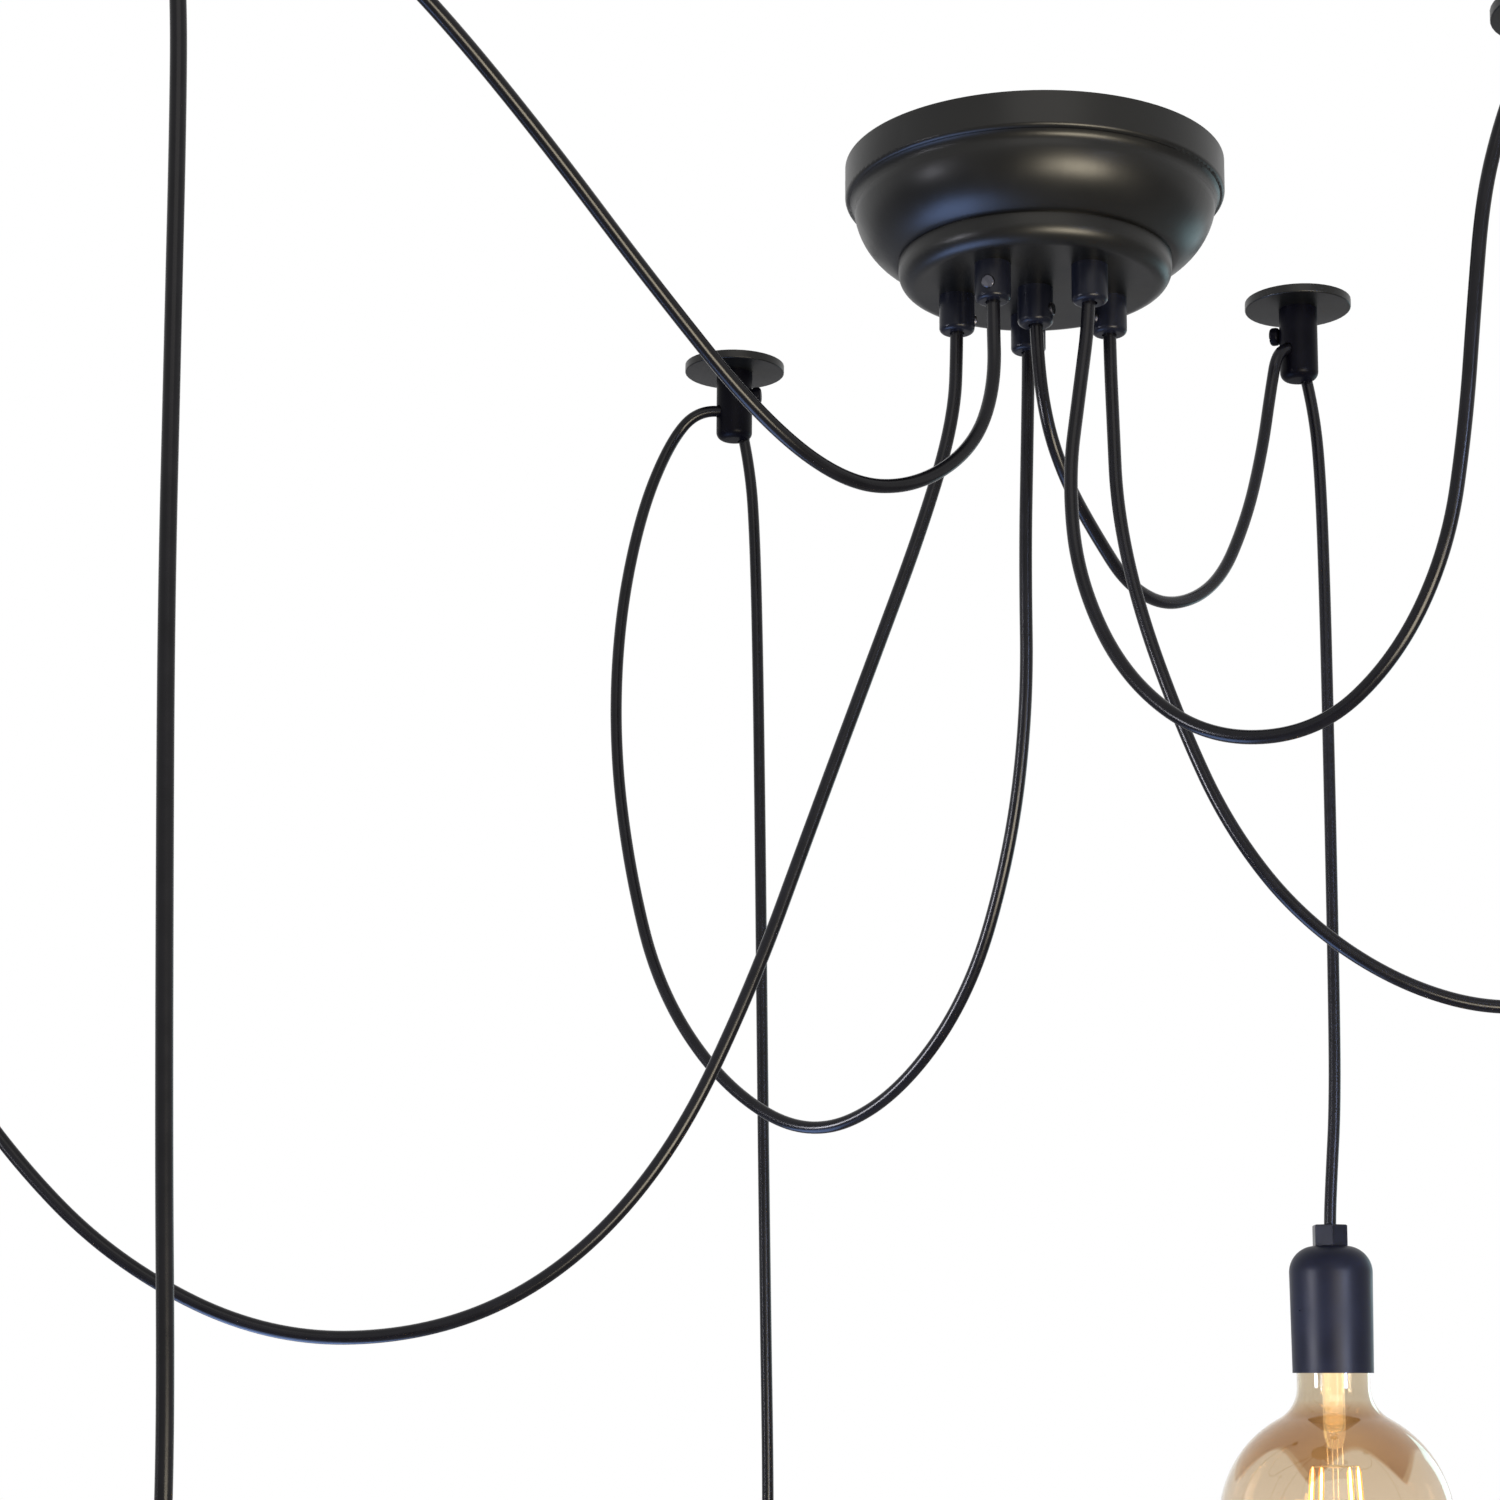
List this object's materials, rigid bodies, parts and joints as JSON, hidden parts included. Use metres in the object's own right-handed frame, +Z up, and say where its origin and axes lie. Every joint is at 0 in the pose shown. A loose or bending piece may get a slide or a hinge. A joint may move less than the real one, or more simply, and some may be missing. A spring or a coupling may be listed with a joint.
{
  "type": "cluster pendant",
  "caption": "Black cluster pendant: a round ceiling canopy feeds cords that swag to ceiling hooks and drop to lampholders with amber globe bulbs.",
  "frame": {"origin": "the canopy's axis at the ceiling, midway between the bracket's fixing holes", "axes": "+Z up, +Y away from the viewer, +X to the right along the bracket"},
  "size_m": [1.0469, 0.6427, 0.7655],
  "materials": {
    "satin_black_steel": "satin black powder coat",
    "zinc_plated_steel": "bright zinc plate",
    "brass": "bright nickel-free brass",
    "white_nylon": "moulded",
    "lead_insulation": "extruded",
    "black_nylon": "moulded, low sheen",
    "holder_black": "matt black coat",
    "ceramic_and_brass": "glazed ceramic core with a brass screw shell",
    "black_cord": "smooth flexible sheath",
    "amber_glass": "clear, amber tint",
    "filament": "glowing strips on a clear stem"
  },
  "bodies": {
    "ceiling_parts": {"canopy_cover": "satin_black_steel", "ceiling_bracket": "zinc_plated_steel", "cover_screws": "satin_black_steel", "earth_screw": "brass", "terminal_block": "white_nylon", "core_leads": "lead_insulation", "cord_grips": "black_nylon", "grip_nuts": "zinc_plated_steel", "grip_screws": "black_nylon", "hook_plates": "satin_black_steel", "hook_stems": "black_nylon", "hook_screws": "black_nylon", "swag_cord_a": "black_cord", "swag_cord_b": "black_cord", "swag_cord_c": "black_cord", "swag_cord_d": "black_cord", "swag_cord_e": "black_cord", "swag_cord_f": "black_cord"},
    "pendant_a": {"drop_cord_a": "black_cord", "holder_grip_a": "black_nylon", "holder_shell_a": "holder_black", "holder_insert_a": "ceramic_and_brass"},
    "bulb_a": {"bulb_cap_a": "brass", "bulb_glass_a": "amber_glass", "bulb_filament_a": "filament"},
    "pendant_b": {"drop_cord_b": "black_cord", "holder_grip_b": "black_nylon", "holder_shell_b": "holder_black", "holder_insert_b": "ceramic_and_brass"},
    "bulb_b": {"bulb_cap_b": "brass", "bulb_glass_b": "amber_glass", "bulb_filament_b": "filament"},
    "pendant_c": {"drop_cord_c": "black_cord", "holder_grip_c": "black_nylon", "holder_shell_c": "holder_black", "holder_insert_c": "ceramic_and_brass"},
    "bulb_c": {"bulb_cap_c": "brass", "bulb_glass_c": "amber_glass", "bulb_filament_c": "filament"},
    "pendant_d": {"drop_cord_d": "black_cord", "holder_grip_d": "black_nylon", "holder_shell_d": "holder_black", "holder_insert_d": "ceramic_and_brass"},
    "bulb_d": {"bulb_cap_d": "brass", "bulb_glass_d": "amber_glass", "bulb_filament_d": "filament"},
    "pendant_e": {"drop_cord_e": "black_cord", "holder_grip_e": "black_nylon", "holder_shell_e": "holder_black", "holder_insert_e": "ceramic_and_brass"},
    "bulb_e": {"bulb_cap_e": "brass", "bulb_glass_e": "amber_glass", "bulb_filament_e": "filament"},
    "pendant_f": {"drop_cord_f": "black_cord", "holder_grip_f": "black_nylon", "holder_shell_f": "holder_black", "holder_insert_f": "ceramic_and_brass"},
    "bulb_f": {"bulb_cap_f": "brass", "bulb_glass_f": "amber_glass", "bulb_filament_f": "filament"}
  },
  "joints": [
    {"name": "pendant_swing_a", "type": "hinge", "parent": "ceiling_parts", "child": "pendant_a", "pos_m": [-0.29731, -0.28442, -0.0387], "axis": [0, 1, 0], "range_deg": [-8, 8]},
    {"name": "bulb_turn_a", "type": "hinge", "parent": "pendant_a", "child": "bulb_a", "pos_m": [-0.2826, -0.2844, -0.6225], "axis": [0, 0, 1], "range_deg": [0, 720]},
    {"name": "pendant_swing_b", "type": "hinge", "parent": "ceiling_parts", "child": "pendant_b", "pos_m": [-0.56542, 0.01095, -0.0387], "axis": [0, 1, 0], "range_deg": [-8, 8]},
    {"name": "bulb_turn_b", "type": "hinge", "parent": "pendant_b", "child": "bulb_b", "pos_m": [-0.5704, 0.0111, -0.5985], "axis": [0, 0, 1], "range_deg": [0, 720]},
    {"name": "pendant_swing_c", "type": "hinge", "parent": "ceiling_parts", "child": "pendant_c", "pos_m": [-0.13301, 0.25332, -0.0387], "axis": [0, 1, 0], "range_deg": [-8, 8]},
    {"name": "bulb_turn_c", "type": "hinge", "parent": "pendant_c", "child": "bulb_c", "pos_m": [-0.1182, 0.2533, -0.6465], "axis": [0, 0, 1], "range_deg": [0, 720]},
    {"name": "pendant_swing_d", "type": "hinge", "parent": "ceiling_parts", "child": "pendant_d", "pos_m": [0.13809, 0.16268, -0.0387], "axis": [0, 1, 0], "range_deg": [-8, 8]},
    {"name": "bulb_turn_d", "type": "hinge", "parent": "pendant_d", "child": "bulb_d", "pos_m": [0.1394, 0.1627, -0.5035], "axis": [0, 0, 1], "range_deg": [0, 720]},
    {"name": "pendant_swing_e", "type": "hinge", "parent": "ceiling_parts", "child": "pendant_e", "pos_m": [0.19248, -0.15352, -0.0387], "axis": [0, 1, 0], "range_deg": [-8, 8]},
    {"name": "bulb_turn_e", "type": "hinge", "parent": "pendant_e", "child": "bulb_e", "pos_m": [0.1954, -0.1536, -0.6285], "axis": [0, 0, 1], "range_deg": [0, 720]},
    {"name": "pendant_swing_f", "type": "hinge", "parent": "ceiling_parts", "child": "pendant_f", "pos_m": [0.36742, 0.00096, -0.0387], "axis": [0, 1, 0], "range_deg": [-8, 8]},
    {"name": "bulb_turn_f", "type": "hinge", "parent": "pendant_f", "child": "bulb_f", "pos_m": [0.3715, 0.0011, -0.6115], "axis": [0, 0, 1], "range_deg": [0, 720]}
  ]
}
